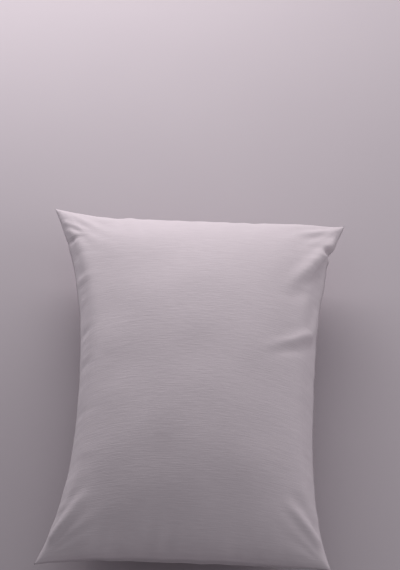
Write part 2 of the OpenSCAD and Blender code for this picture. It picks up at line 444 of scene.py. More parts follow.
@dataclass(frozen=True)
class Fold:
    """One fold in the cloth: a ridge along a path, with a valley beside it."""

    side: Side
    path: tuple[tuple[float, float], ...]
    height: float
    width: float
    valley: float = 0.7
    valley_side: int = 1

    def lift(self, x: np.ndarray, y: np.ndarray) -> np.ndarray:
        """How far the fold lifts the cloth.

        Args:
            x: Flat-cloth coordinates across, in metres.
            y: Flat-cloth coordinates along, in metres.

        Returns:
            The lift at each point, in metres.
        """
        points = np.array(self.path)
        spans = np.linalg.norm(np.diff(points, axis=0), axis=1)
        starts = np.concatenate([[0.0], np.cumsum(spans)])
        best = np.full(x.shape, 1e9)
        signed = np.zeros(x.shape)
        along = np.zeros(x.shape)
        for (p, q), span, start in zip(zip(points[:-1], points[1:]), spans, starts):
            tx, ty = (q - p) / span
            t = np.clip((x - p[0]) * tx + (y - p[1]) * ty, 0.0, span)
            dx, dy = x - p[0] - t * tx, y - p[1] - t * ty
            far = np.hypot(dx, dy)
            near = far < best
            best = np.where(near, far, best)
            signed = np.where(near, np.sign(tx * dy - ty * dx) * far, signed)
            along = np.where(near, (start + t) / starts[-1], along)
        fade = 1.0 - ramp(along, 0.35, 1.0)
        ridge = np.exp(-((signed / self.width) ** 2))
        beside = np.exp(-(((signed * self.valley_side - 1.7 * self.width) / (1.1 * self.width)) ** 2))
        return self.height * fade * (ridge - self.valley * beside)


@dataclass(frozen=True)
class Tuck:
    """A short stretch of side seam that is caught and drawn in, as beside a folded corner."""

    place: tuple[float, float]
    move: tuple[float, float, float]
    along: float
    inward: float

    def pull(self, x: np.ndarray, y: np.ndarray) -> np.ndarray:
        """How far the tuck moves the cloth.

        Args:
            x: Flat-cloth coordinates across, in metres.
            y: Flat-cloth coordinates along, in metres.

        Returns:
            A move for each point, in metres.
        """
        far_along, far_in = (y - self.place[1]) / self.along, (x - self.place[0]) / self.inward
        share = np.exp(-(far_along**2) - far_in**2)
        return share[..., None] * np.array(self.move)


@dataclass
class PillowForm:
    """The case's outside, as one grid for each side that meet along the seam."""

    simulation: PanelSimulation = field(default_factory=PanelSimulation)
    press_depth: float = 0.0985
    press_soft: float = 0.009
    waist_draw: float = 0.050
    sideways: float = 0.0085
    lump: float = 0.00055
    pucker: float = 0.0011
    pucker_reach: float = 0.024
    yarn_lift: float = 0.00002
    ray_lift: float = 0.0005
    ray_count: float = 17.0
    seam_wander: tuple[float, float] = (0.0003, 0.0006)
    seam_wander_reach: float = 0.016
    crown_clear: float = 0.001
    corner_reach: float = 0.095
    rows: int = field(init=False)
    columns: int = field(init=False)
    u: np.ndarray = field(init=False)
    v: np.ndarray = field(init=False)
    x: np.ndarray = field(init=False)
    y: np.ndarray = field(init=False)
    smooth_front: np.ndarray = field(init=False)
    smooth_back: np.ndarray = field(init=False)
    front: np.ndarray = field(init=False)
    back: np.ndarray = field(init=False)
    front_normal: np.ndarray = field(init=False)
    back_normal: np.ndarray = field(init=False)

    def __post_init__(self) -> None:
        """Run the simulation and finish its result."""
        front, back = (doubled(g) for g in self.simulation.run())
        self.rows, self.columns = front.shape[:2]
        places = [np.linspace(-1, 1, count) for count in (self.rows, self.columns)]
        self.v, self.u = np.meshgrid(*places, indexing="ij")
        self.x = self.u * self.simulation.width / 2
        self.y = self.v * self.simulation.length / 2
        reach = [np.abs(front[..., axis]).max() for axis in (0, 1)]
        size = np.array([HALF_W / reach[0], HALF_L / reach[1]])
        for grid in (front, back):
            grid[..., :2] *= size
            grid[..., 0] *= 1.0 - self.waist_draw * (1.0 - np.abs(self.v) ** ALONG_POWER)
        front[..., 2] *= (CROWN - self.crown_clear) / front[..., 2].max()
        front[..., 2] = np.maximum(front[..., 2], 0.0)
        depth = np.maximum(-back[..., 2], 0.0)
        depth *= self.press_depth / depth.max()
        gap = np.maximum(self.press_soft - np.abs(depth - SEAM_Z), 0.0) / self.press_soft
        back[..., 2] = -(np.minimum(depth, SEAM_Z) - gap * gap * self.press_soft / 4)
        for grid in (front, back):
            grid[0, :, 2] = grid[-1, :, 2] = 0.0
            grid[:, 0, 2] = grid[:, -1, 2] = 0.0
        self.smooth_front, self.smooth_back = front, back
        self.front, self.back = self.dressed(front, Side.FRONT), self.dressed(back, Side.BACK)
        self.front_normal, self.back_normal = self.outward(self.front, self.back)

    @property
    def flat_half(self) -> tuple[float, float]:
        """Half the width and length of the flat panel."""
        return self.simulation.width / 2, self.simulation.length / 2

    @property
    def flat(self) -> np.ndarray:
        """Place of each grid point on the flat cloth."""
        return np.stack([self.x, self.y], axis=-1)

    def near_side(self) -> np.ndarray:
        """Whether each point is nearer a long side than an end."""
        half_w, half_l = self.flat_half
        return (half_w - np.abs(self.x)) < (half_l - np.abs(self.y))

    def edge_distance(self) -> np.ndarray:
        """How far each point of the flat panel is from the seam, in metres."""
        half_w, half_l = self.flat_half
        return np.minimum(half_w - np.abs(self.x), half_l - np.abs(self.y))

    def lay_down(self, u: np.ndarray, v: np.ndarray) -> np.ndarray:
        """How far the pillow is bent, and its corners pushed aside, by the way it was laid down.

        Args:
            u: Places across, from -1 to 1.
            v: Places along, from -1 to 1.

        Returns:
            A move for each point, in metres.
        """
        half_w, half_l = self.flat_half
        total = np.zeros((*np.broadcast(u, v).shape, 3))
        for cu, cv, move in (
            (-1, 1, (-0.002, 0.004, 0.005)),
            (1, 1, (0.002, -0.006, -0.003)),
            (-1, -1, (0.0, 0.003, -0.008)),
            (1, -1, (0.0, 0.003, 0.006)),
        ):
            reach = np.hypot((u - cu) * half_w, (v - cv) * half_l)
            share = (1.0 - ramp(reach, 0.0, self.corner_reach)) ** 1.3
            total += share[..., None] * np.array(move)
        total[..., 0] += self.sideways * (1.0 - v * v)
        for tuck in TUCKS:
            total += tuck.pull(u * self.simulation.width / 2, v * self.simulation.length / 2)
        return total

    def dressed(self, smooth: np.ndarray, side: Side) -> np.ndarray:
        """Add lumps, puckers, folds and a wandering seam to one smooth side.

        Args:
            smooth: The side's smooth grid.
            side: Which side it is.

        Returns:
            The finished grid.
        """
        x, y, from_edge = self.x, self.y, self.edge_distance()
        half_w, half_l = self.flat_half
        normal = grid_normals(smooth) * side.value
        inside = ramp(from_edge, 0.0, 0.012)
        lift = self.lump * ripple(x, y, (0.09, 0.22), 5 + side.value) * ramp(from_edge, 0.02, 0.08)
        yarns = ripple(x * 0.5, y * 1.8, (0.014, 0.04), 15 + side.value)
        lift += self.yarn_lift * yarns * ramp(from_edge, 0.01, 0.04)
        reach = self.pucker_reach * (1.0 + 0.45 * ripple(x, y, (0.06, 0.12), 31))
        fade = np.exp(-from_edge / np.maximum(reach, 0.008)) * inside
        along_side = ripple(y, 0.15 * x, (0.017, 0.04), 41 + side.value)
        along_end = ripple(x, 0.15 * y, (0.017, 0.045), 47 + side.value)
        corner = np.hypot(np.abs(x) - half_w, np.abs(y) - half_l)
        share = np.where(x < 0, 0.65, 0.5)
        waves = np.where(self.near_side(), along_side, along_end)
        lift += self.pucker * share * waves * fade * ramp(corner, 0.03, 0.09)
        angle = np.arctan2(half_l - np.abs(y), half_w - np.abs(x))
        turn = angle * self.ray_count + 2.2 * np.sign(x) + 1.1 * np.sign(y)
        rays = np.sin(turn + ripple(x, y, (0.1, 0.2), 53)) * self.ray_lift
        lift += rays * ramp(corner, 0.02, 0.05) * (1.0 - ramp(corner, 0.06, 0.15)) * inside
        for fold in FOLDS:
            if fold.side is side:
                lift += fold.lift(x, y) * inside
        if side is Side.BACK:
            lift *= ramp(smooth[..., 2], 0.002 - SEAM_Z, 0.02 - SEAM_Z)
        done = smooth + normal * lift[..., None]
        if side is Side.FRONT:
            done[..., 2] = np.maximum(done[..., 2], 0.0)
        seam = np.exp(-from_edge / self.seam_wander_reach)
        wander = np.zeros_like(done)
        wander[..., 2] = self.seam_wander[1] * ripple(y + 0.7 * x, x - 0.4 * y, (0.04, 0.11), 61)
        wander[..., 0] = self.seam_wander[0] * ripple(y, x * 0.2, (0.03, 0.08), 67) * np.sign(x)
        done += wander * seam[..., None] * ramp(corner, 0.0, 0.03)[..., None]
        return done

    def outward(self, front: np.ndarray, back: np.ndarray) -> tuple[np.ndarray, np.ndarray]:
        """Outward normals of both sides, shared along the seam.

        Args:
            front: The front grid.
            back: The back grid.

        Returns:
            Normals of the front and of the back.
        """
        up, down = grid_normals(front), -grid_normals(back)
        for edge in Edge:
            place = edge.place
            up[place] = down[place] = unit(up[place] + down[place] + 1e-9)
        return up, down

    def row_of(self, v: float) -> float:
        """The row number, with its fraction, at a place along the pillow."""
        return (v + 1.0) / 2.0 * (self.rows - 1)

    def between(self, low: float, high: float, least: int = 2) -> np.ndarray:
        """Row numbers from one place along the pillow to another.

        Args:
            low: The first place, from -1 to 1.
            high: The last place.
            least: The least number of steps.

        Returns:
            Row numbers with fractions.
        """
        a, b = self.row_of(low), self.row_of(high)
        return np.linspace(a, b, max(least, round(b - a)) + 1)

    def take(self, grid: np.ndarray, rows: np.ndarray) -> np.ndarray:
        """Rows of a grid, with fractions of rows worked out between their neighbours.

        Args:
            grid: The grid.
            rows: Row numbers with fractions.

        Returns:
            One row for each number.
        """
        low = np.clip(np.floor(rows).astype(int), 0, self.rows - 2)
        share = (rows - low).reshape(-1, *([1] * (grid.ndim - 1)))
        return grid[low] * (1 - share) + grid[low + 1] * share

    def skin(
        self, side: Side, depth: float | np.ndarray, rows: np.ndarray | None = None
    ) -> np.ndarray:
        """The case's surface, sunk into the pillow.

        Args:
            side: Which side.
            depth: How far the skin lies under the outside, in all or for each row.
            rows: Row numbers, or None for all.

        Returns:
            The points, in their place over the floor.
        """
        grid, normal = self.front, self.front_normal
        if side is Side.BACK:
            grid, normal = self.back, self.back_normal
        u, v = self.u, self.v
        if rows is not None:
            grid, normal, u, v = (self.take(g, rows) for g in (grid, normal, u, v))
        sink = np.broadcast_to(np.asarray(depth, float).reshape(-1, 1, 1), (len(grid), 1, 1))
        points = grid - unit(normal) * sink + self.lay_down(u, v)
        points[..., 2] += SEAM_Z
        points[..., 2] = np.maximum(points[..., 2], sink[..., 0])
        return points

    def smaller(
        self, side: Side, inset: float, base: float, height: float, low: float = 0.0
    ) -> np.ndarray:
        """The pillow's form drawn smaller, for the pieces inside the case.

        Args:
            side: Which side.
            inset: How far its edge lies inside the case's in plan.
            base: Height of its edge over the seam.
            height: Its rise over its edge, or its fall under it.
            low: Its lowest point over the floor.

        Returns:
            The points, in their place over the floor.
        """
        grid = 0.65 * (self.smooth_front if side is Side.FRONT else self.smooth_back)
        grid = grid + 0.35 * (self.front if side is Side.FRONT else self.back)
        points = grid.copy()
        points[..., 0] *= self.drawn_in(self.smooth_front[:, -1, ::-1][:, 1:], inset)[:, None]
        points[..., 1] *= self.drawn_in(self.smooth_front[-1, :, :2], inset)[None, :]
        full = np.abs(grid[..., 2]).max()
        points[..., 2] = base + grid[..., 2] * height / full
        points += self.lay_down(self.u, self.v)
        points[..., 2] = np.maximum(points[..., 2] + SEAM_Z, low)
        return points

    @staticmethod
    def drawn_in(edge: np.ndarray, inset: float) -> np.ndarray:
        """Share by which each row shrinks so that its end lies evenly inside an edge.

        Args:
            edge: The edge's points, each as (place along it, distance from the middle line).
            inset: How far inside the edge the rows end.

        Returns:
            One share for each point of the edge.
        """
        along, out = edge[:, 0], np.abs(edge[:, 1])
        moved = along * (1.0 - inset / np.abs(along).max())
        return (np.interp(moved, along, out) - inset) / out

    def outline(self, inset: float, height: float, step: float = 0.002) -> np.ndarray:
        """The closed outline, anticlockwise from above, at even steps.

        Args:
            inset: How far it lies inside the case's edge in plan.
            height: Its height over the seam.
            step: Distance between points.

        Returns:
            The points, in their place over the floor.
        """
        ring = self.edges(self.smaller(Side.FRONT, inset, height, 0.0))
        return self.evenly(np.concatenate([ring, ring[:1]]), step)[:-1]

    @staticmethod
    def edges(grid: np.ndarray) -> np.ndarray:
        """The points round a grid, anticlockwise from above, each once."""
        return np.concatenate([grid[0, :-1], grid[:-1, -1], grid[-1, :0:-1], grid[:0:-1, 0]])

    @staticmethod
    def evenly(path: np.ndarray, step: float) -> np.ndarray:
        """The same path with its points at even steps.

        Args:
            path: The path's points.
            step: Distance between the new points, or nearly.

        Returns:
            The new points.
        """
        far = np.concatenate([[0.0], np.cumsum(np.linalg.norm(np.diff(path, axis=0), axis=1))])
        at = np.linspace(0.0, far[-1], max(2, round(far[-1] / step)) + 1)
        return np.stack([np.interp(at, far, path[:, k]) for k in range(3)], axis=-1)


FOLDS: tuple[Fold, ...] = (
    Fold(
        Side.FRONT, ((0.252, 0.308), (0.234, 0.268), (0.208, 0.222), (0.160, 0.152)),
        0.0080, 0.0150, 1.0, 1,
    ),
    Fold(Side.FRONT, ((0.252, 0.286), (0.240, 0.279), (0.226, 0.262)), -0.0065, 0.0050, 0.3, 1),
    Fold(Side.FRONT, ((0.230, 0.328), (0.205, 0.316), (0.165, 0.308)), 0.0016, 0.0080, 0.6, 1),
    Fold(
        Side.FRONT, ((0.250, 0.150), (0.234, 0.098), (0.196, 0.068), (0.120, 0.030)),
        0.0046, 0.0095, 0.9, 1,
    ),
    Fold(Side.FRONT, ((0.246, 0.215), (0.218, 0.186), (0.178, 0.176)), 0.0012, 0.0080, 0.6, 1),
    Fold(Side.FRONT, ((-0.252, 0.284), (-0.238, 0.282), (-0.218, 0.286)), -0.0021, 0.0034, 0.5, 1),
    Fold(Side.FRONT, ((-0.244, 0.303), (-0.226, 0.292), (-0.200, 0.290)), 0.0014, 0.0045, 0.7, 1),
    Fold(Side.FRONT, ((-0.240, 0.318), (-0.216, 0.302), (-0.190, 0.298)), 0.0011, 0.0045, 0.7, 1),
    Fold(Side.FRONT, ((0.236, -0.300), (0.205, -0.265), (0.172, -0.240)), 0.0045, 0.012, 0.8, -1),
    Fold(Side.FRONT, ((-0.236, -0.305), (-0.208, -0.262), (-0.180, -0.225)), 0.0040, 0.011, 0.8, 1),
    Fold(Side.BACK, ((0.236, 0.305), (0.200, 0.262), (0.160, 0.225)), 0.0050, 0.012, 0.8, 1),
    Fold(Side.BACK, ((-0.238, 0.300), (-0.205, 0.265), (-0.175, 0.225)), 0.0050, 0.012, 0.8, -1),
)

TUCKS: tuple[Tuck, ...] = (
    Tuck((0.25, 0.279), (-0.0065, 0.002, -0.003), 0.0085, 0.020),
    Tuck((0.25, 0.255), (-0.0020, 0.0, 0.002), 0.0120, 0.022),
    Tuck((-0.25, 0.283), (0.0012, 0.0, 0.0), 0.0060, 0.016),
)


# ---- finishes ----


class Nodes:
    """Shorthand for building a tree of shader or geometry nodes."""

    def __init__(self, tree: bpy.types.NodeTree) -> None:
        """Keep the tree to build in."""
        self.tree = tree

    def add(self, kind: str, inputs: dict | None = None, **settings: object) -> bpy.types.Node:
        """Add a node.

        Args:
            kind: The node's type.
            inputs: For each socket's name or number, a value or the socket that feeds it.
            settings: Properties of the node.

        Returns:
            The new node.
        """
        node = self.tree.nodes.new(kind)
        for name, value in settings.items():
            setattr(node, name, value)
        for name, value in (inputs or {}).items():
            if isinstance(value, bpy.types.NodeSocket):
                self.tree.links.new(value, node.inputs[name])
            else:
                node.inputs[name].default_value = value
        return node

    def math(self, operation: str, a: object, b: object = 0.0) -> bpy.types.NodeSocket:
        """Add a Math node and return its result."""
        return self.add("ShaderNodeMath", {0: a, 1: b}, operation=operation).outputs[0]

    def blend(self, share: object, a: object, b: object) -> bpy.types.NodeSocket:
        """Mix two colours and return the result."""
        node = self.add("ShaderNodeMix", {0: share, 6: a, 7: b}, data_type="RGBA")
        return node.outputs[2]


def new_group(
    name: str,
    inputs: tuple[tuple[str, str, object], ...],
    outputs: tuple[tuple[str, str], ...],
) -> tuple[bpy.types.NodeTree, Nodes, bpy.types.Node]:
    """Start a shader node group.

    Args:
        name: The group's name.
        inputs: Name, kind and default of each input.
        outputs: Name and kind of each output.

    Returns:
        The tree, its shorthand and its Group Input node.
    """
    tree = bpy.data.node_groups.new(name, "ShaderNodeTree")
    for title, kind, value in inputs:
        socket = tree.interface.new_socket(name=title, in_out="INPUT", socket_type=kind)
        if value is not None:
            socket.default_value = value
    for title, kind in outputs:
        tree.interface.new_socket(name=title, in_out="OUTPUT", socket_type=kind)
    kit = Nodes(tree)
    return tree, kit, kit.add("NodeGroupInput")


def woven_group() -> bpy.types.NodeTree:
    """Plain weave with thicker slub yarns across it.

    Returns:
        A group that gives the cloth's height and the painted shade of its hollows.
    """
    tree, kit, given = new_group(
        "plain_weave",
        (
            ("Place", "NodeSocketVector", None),
            ("Yarns per metre", "NodeSocketFloat", 1400.0),
            ("Slub", "NodeSocketFloat", 0.5),
        ),
        tuple((name, "NodeSocketFloat") for name in ("Height", "Painted hollow shade", "Slub mask")),
    )
    parts = kit.add("ShaderNodeSeparateXYZ", {0: given.outputs["Place"]})
    thin = kit.math("MULTIPLY", given.outputs["Yarns per metre"], 0.09)
    yarns = []
    close = given.outputs["Yarns per metre"]
    for number, (first, second) in enumerate(((close, thin), (thin, close))):
        place = kit.add("ShaderNodeCombineXYZ", {
            "X": kit.math("MULTIPLY", parts.outputs[0], first),
            "Y": kit.math("MULTIPLY", parts.outputs[1], second),
            "Z": kit.math("ADD", parts.outputs[2], 7.3 * number),
        })
        yarn = kit.add("ShaderNodeTexNoise", {"Vector": place.outputs[0], "Scale": 1.0, "Detail": 1.0})
        yarns.append(yarn.outputs[0])
    weave = kit.math("MULTIPLY", kit.math("MAXIMUM", *yarns), 2.0)
    spot = given.outputs["Place"]
    fine = kit.add("ShaderNodeMapping", {"Vector": spot, "Scale": (26.0, 520.0, 1.0)})
    slub_fine = kit.add("ShaderNodeTexNoise", {
        "Vector": fine.outputs[0], "Scale": 1.0, "Detail": 2.0, "Roughness": 0.55,
    })
    broad = kit.add("ShaderNodeMapping", {"Vector": spot, "Scale": (42.0, 210.0, 1.0)})
    slub_broad = kit.add("ShaderNodeTexNoise", {
        "Vector": broad.outputs[0], "Scale": 1.0, "Detail": 3.0, "Roughness": 0.6,
    })
    slub = kit.math(
        "ADD",
        kit.math("MULTIPLY", slub_fine.outputs[0], 0.55),
        kit.math("MULTIPLY", slub_broad.outputs[0], 0.45),
    )
    mask = kit.add("ShaderNodeMapRange", {"Value": slub, "From Min": 0.36, "From Max": 0.64}).outputs[0]
    yarn = kit.math("MULTIPLY", mask, given.outputs["Slub"])
    height = kit.math("ADD", kit.math("MULTIPLY", weave, 0.16), yarn)
    # painted shade: where no slub yarn stands up, the weave's hollows are coloured darker
    painted_hollow_shade = kit.math("MULTIPLY", kit.math("SUBTRACT", 1.0, mask), given.outputs["Slub"])
    kit.add("NodeGroupOutput", {"Height": height, "Painted hollow shade": painted_hollow_shade, "Slub mask": mask})
    return tree


def wear_group() -> bpy.types.NodeTree:
    """Soft blotches and specks, as laundering and handling leave on cloth.

    Returns:
        A group that gives a broad tone, fine fuzz and a mask of worn places.
    """
    tree, kit, given = new_group(
        "washed_wear",
        (
            ("Place", "NodeSocketVector", None),
            ("Blotch size", "NodeSocketFloat", 0.08),
            ("Amount", "NodeSocketFloat", 0.5),
        ),
        (("Tone", "NodeSocketFloat"), ("Fuzz", "NodeSocketFloat"), ("Worn", "NodeSocketFloat")),
    )
    scale = kit.math("DIVIDE", 1.0, given.outputs["Blotch size"])
    place = given.outputs["Place"]
    blotch = kit.add("ShaderNodeTexNoise", {
        "Vector": place, "Scale": scale, "Detail": 3.0, "Roughness": 0.5,
    })
    tone = kit.math("MULTIPLY", kit.math("SUBTRACT", blotch.outputs[0], 0.5), given.outputs["Amount"])
    fuzz = kit.add("ShaderNodeTexNoise", {
        "Vector": place, "Scale": 900.0, "Detail": 2.0, "Roughness": 0.7,
    })
    worn = kit.add("ShaderNodeMapRange", {
        "Value": blotch.outputs[0], "From Min": 0.55, "From Max": 0.75,
    }).outputs[0]
    kit.add("NodeGroupOutput", {"Tone": tone, "Fuzz": fuzz.outputs[0], "Worn": worn})
    return tree


@dataclass(frozen=True)
class ClothFinish:
    """A cloth or yarn finish, built from the shared weave and wear groups."""

    name: str
    colour: tuple[float, float, float]
    # colour of the painted shade in the weave's hollows
    hollow_shade_colour: tuple[float, float, float]
    yarns: float = 1400.0
    slub: float = 0.5
    bump: float = 0.4
    relief: float = 0.0004
    blotch: float = 0.08
    tone: float = 0.2
    sheen: float = 0.25
    sheen_roughness: float = 0.5
    roughness: tuple[float, float] = (0.78, 0.92)
    on_cloth: bool = True

    def build(self, weave: bpy.types.NodeTree, wear: bpy.types.NodeTree) -> bpy.types.Material:
        """Make the material.

        Args:
            weave: The weave group.
            wear: The wear group.

        Returns:
            The material.
        """
        material = bpy.data.materials.new(self.name)
        material.use_nodes = True
        tree = material.node_tree
        tree.nodes.clear()
        kit = Nodes(tree)
        where = kit.add("ShaderNodeTexCoord").outputs["Object"]
        place = kit.add("ShaderNodeUVMap", uv_map="cloth").outputs[0] if self.on_cloth else where
        cloth = kit.add("ShaderNodeGroup", {
            "Place": place, "Yarns per metre": self.yarns, "Slub": self.slub,
        }, node_tree=weave)
        worn = kit.add("ShaderNodeGroup", {
            "Place": where, "Blotch size": self.blotch, "Amount": self.tone,
        }, node_tree=wear)
        # painted shade: the hollows between slub yarns blend towards the darker colour
        base = kit.blend(cloth.outputs["Painted hollow shade"], (*self.colour, 1.0), (*self.hollow_shade_colour, 1.0))
        brightness = kit.math("ADD", worn.outputs["Tone"], 1.0)
        toned = kit.add("ShaderNodeHueSaturation", {"Color": base, "Value": brightness})
        faded = kit.blend(
            kit.math("MULTIPLY", worn.outputs["Worn"], 0.12),
            toned.outputs[0],
            tuple(min(1.0, c * 1.06) for c in self.colour) + (1.0,),
        )
        height = kit.math("ADD", cloth.outputs["Height"], kit.math("MULTIPLY", worn.outputs["Fuzz"], 0.3))
        bump = kit.add("ShaderNodeBump", {
            "Strength": self.bump, "Distance": self.relief, "Height": height,
        })
        low, high = self.roughness
        rough = kit.add(
            "ShaderNodeMapRange", {"Value": cloth.outputs["Slub mask"], "To Min": low, "To Max": high}
        ).outputs[0]
        shader = kit.add("ShaderNodeBsdfPrincipled", {
            "Base Color": faded,
            "Roughness": rough,
            "Normal": bump.outputs[0],
            "Sheen Weight": self.sheen,
            "Sheen Roughness": self.sheen_roughness,
            "Specular IOR Level": 0.25,
        })
        kit.add("ShaderNodeOutputMaterial", {"Surface": shader.outputs[0]})
        return material


# Each finish's second colour is painted shade for the hollows of its weave.
COTTON = ClothFinish(
    name="washed_slub_cotton", colour=(0.640, 0.560, 0.600), hollow_shade_colour=(0.560, 0.485, 0.525),
    yarns=1500.0, slub=0.45, bump=0.55, relief=0.0007, blotch=0.11, tone=0.10, sheen=0.22,
)
THREAD = ClothFinish(
    name="sewing_thread", colour=(0.690, 0.620, 0.650), hollow_shade_colour=(0.560, 0.490, 0.520), yarns=2600.0,
    slub=0.3, bump=0.5, relief=0.0002, blotch=0.02, tone=0.12, sheen=0.15, on_cloth=False,
)
LABEL = ClothFinish(
    name="label_tape", colour=(0.860, 0.850, 0.820), hollow_shade_colour=(0.760, 0.750, 0.720), yarns=3200.0,
    slub=0.2, bump=0.35, relief=0.0002, blotch=0.02, tone=0.06, sheen=0.08, sheen_roughness=0.4,
    roughness=(0.5, 0.62),
)
TICKING = ClothFinish(
    name="cambric_ticking", colour=(0.835, 0.785, 0.795), hollow_shade_colour=(0.765, 0.712, 0.722),
    yarns=2200.0, slub=0.22, bump=0.35, relief=0.0003, blotch=0.07, tone=0.10, sheen=0.18,
)
PIPING = ClothFinish(
    name="bias_piping", colour=(0.760, 0.712, 0.722), hollow_shade_colour=(0.665, 0.618, 0.627), yarns=2200.0,
    slub=0.3, bump=0.5, relief=0.0003, blotch=0.03, tone=0.12, sheen=0.15,
)
CORD = ClothFinish(
    name="cotton_cord", colour=(0.820, 0.800, 0.760), hollow_shade_colour=(0.640, 0.615, 0.570), yarns=900.0,
    slub=0.6, bump=0.6, relief=0.0004, blotch=0.02, tone=0.15, sheen=0.2,
)
FIBRE = ClothFinish(
    name="carded_fibre", colour=(0.900, 0.895, 0.880), hollow_shade_colour=(0.790, 0.785, 0.770), yarns=260.0,
    slub=0.9, bump=0.9, relief=0.0015, blotch=0.03, tone=0.25, sheen=0.35, sheen_roughness=0.6,
    roughness=(0.85, 0.98), on_cloth=False,
)


class Wardrobe:
    """Builds each finish once and dresses pieces with it."""

    SLOTS = {
        COTTON.name: "case_cotton",
        THREAD.name: "sewing_thread",
        LABEL.name: "label_tape",
        TICKING.name: "ticking",
        PIPING.name: "piping",
        CORD.name: "cotton_cord",
        FIBRE.name: "fibre",
    }

    def __init__(self) -> None:
        """Build the shared groups and every material."""
        weave, wear = woven_group(), wear_group()
        finishes = (COTTON, THREAD, LABEL, TICKING, PIPING, CORD, FIBRE)
        self.materials = {f.name: f.build(weave, wear) for f in finishes}

    def dress(
        self, piece: bpy.types.Object, finish: ClothFinish, body: str, *nodes: str
    ) -> bpy.types.Object:
        """Give a finished piece its material and body, and hide the CAD nodes that it stands for.

        Args:
            piece: The piece.
            finish: Its finish.
            body: The body that it rides on.
            nodes: The CAD nodes that it replaces.

        Returns:
            The same piece.
        """
        piece.data.materials.clear()
        piece.data.materials.append(self.materials[finish.name])
        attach(piece, body)
        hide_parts(*nodes)
        if body == CASE:
            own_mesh(piece)
        LOG.info("%s: %d faces, on %s", piece.name, len(piece.data.polygons), body)
        return piece


# ---- stitches ----


class StitchTree:
    """A Geometry Nodes tree that lays stitches along a path."""

    INPUTS = (
        ("Pitch", "NodeSocketFloat", 0.003),
        ("Stitch length", "NodeSocketFloat", 0.0024),
        ("Thread radius", "NodeSocketFloat", 0.0003),
        ("Turn", "NodeSocketFloat", 0.0),
        ("Unevenness", "NodeSocketFloat", 0.06),
        ("Seed", "NodeSocketInt", 7),
        ("Thread", "NodeSocketMaterial", None),
    )

    def __init__(self) -> None:
        """Build the tree."""
        self.tree = bpy.data.node_groups.new("row_of_stitches", "GeometryNodeTree")
        self.ids = {}
        self.tree.interface.new_socket(name="Path", in_out="INPUT", socket_type="NodeSocketGeometry")
        for name, kind, value in self.INPUTS:
            socket = self.tree.interface.new_socket(name=name, in_out="INPUT", socket_type=kind)
            if value is not None:
                socket.default_value = value
            self.ids[name] = socket.identifier
        self.tree.interface.new_socket(name="Stitches", in_out="OUTPUT", socket_type="NodeSocketGeometry")
        kit = Nodes(self.tree)
        given = kit.add("NodeGroupInput").outputs
        curve = kit.add("GeometryNodeMeshToCurve", {"Mesh": given["Path"]})
        even = kit.add("GeometryNodeResampleCurve", {"Curve": curve.outputs[0]}, mode="LENGTH")
        self.tree.links.new(given["Pitch"], even.inputs["Length"])
        tangent = kit.add("GeometryNodeInputTangent").outputs[0]
        up = kit.add(
            "GeometryNodeInputNamedAttribute", {"Name": "up"}, data_type="FLOAT_VECTOR"
        ).outputs[0]
        facing = kit.add("FunctionNodeAlignRotationToVector", {"Vector": up}, axis="Z")
        led = kit.add(
            "FunctionNodeAlignRotationToVector",
            {"Rotation": facing.outputs[0], "Vector": tangent},
            axis="X", pivot_axis="Z",
        )
        jitter = kit.add("FunctionNodeRandomValue", {"Seed": given["Seed"]}, data_type="FLOAT")
        low = kit.math("MULTIPLY", given["Unevenness"], -1.0)
        self.tree.links.new(low, jitter.inputs[2])
        self.tree.links.new(given["Unevenness"], jitter.inputs[3])
        angle = kit.math("ADD", given["Turn"], jitter.outputs[1])
        spin = kit.add("ShaderNodeCombineXYZ", {"Z": angle})
        local = kit.add(
            "FunctionNodeRotateRotation", {"Rotation": led.outputs[0], "Rotate By": spin.outputs[0]},
            rotation_space="LOCAL",
        )
        placed = kit.add("GeometryNodeInstanceOnPoints", {
            "Points": even.outputs[0],
            "Instance": self.one_stitch(kit, given),
            "Rotation": local.outputs[0],
        })
        real = kit.add("GeometryNodeRealizeInstances", {"Geometry": placed.outputs[0]})
        dyed = kit.add(
            "GeometryNodeSetMaterial", {"Geometry": real.outputs[0], "Material": given["Thread"]}
        )
        kit.add("NodeGroupOutput", {"Stitches": dyed.outputs[0]})

    def one_stitch(self, kit: Nodes, given: bpy.types.bpy_prop_collection) -> bpy.types.NodeSocket:
        """One stitch: a short arched thread whose ends dip into the cloth.

        Args:
            kit: Shorthand for the tree.
            given: The tree's inputs.

        Returns:
            The stitch's mesh.
        """
        reach = kit.math("MULTIPLY", given["Stitch length"], 0.5)
        dip = kit.math("MULTIPLY", given["Thread radius"], -1.1)
        top = kit.math("MULTIPLY", given["Thread radius"], 1.6)
        back = kit.add("ShaderNodeCombineXYZ", {"X": kit.math("MULTIPLY", reach, -1.0), "Z": dip})
        crest = kit.add("ShaderNodeCombineXYZ", {"Z": top})
        ahead = kit.add("ShaderNodeCombineXYZ", {"X": reach, "Z": dip})
        arc = kit.add("GeometryNodeCurveQuadraticBezier", {
            "Resolution": 4,
            "Start": back.outputs[0],
            "Middle": crest.outputs[0],
            "End": ahead.outputs[0],
        })
        ring = kit.add(
            "GeometryNodeCurvePrimitiveCircle", {"Resolution": 6, "Radius": given["Thread radius"]}
        )
        return kit.add("GeometryNodeCurveToMesh", {
            "Curve": arc.outputs[0],
            "Profile Curve": ring.outputs[0],
            "Fill Caps": True,
        }).outputs[0]


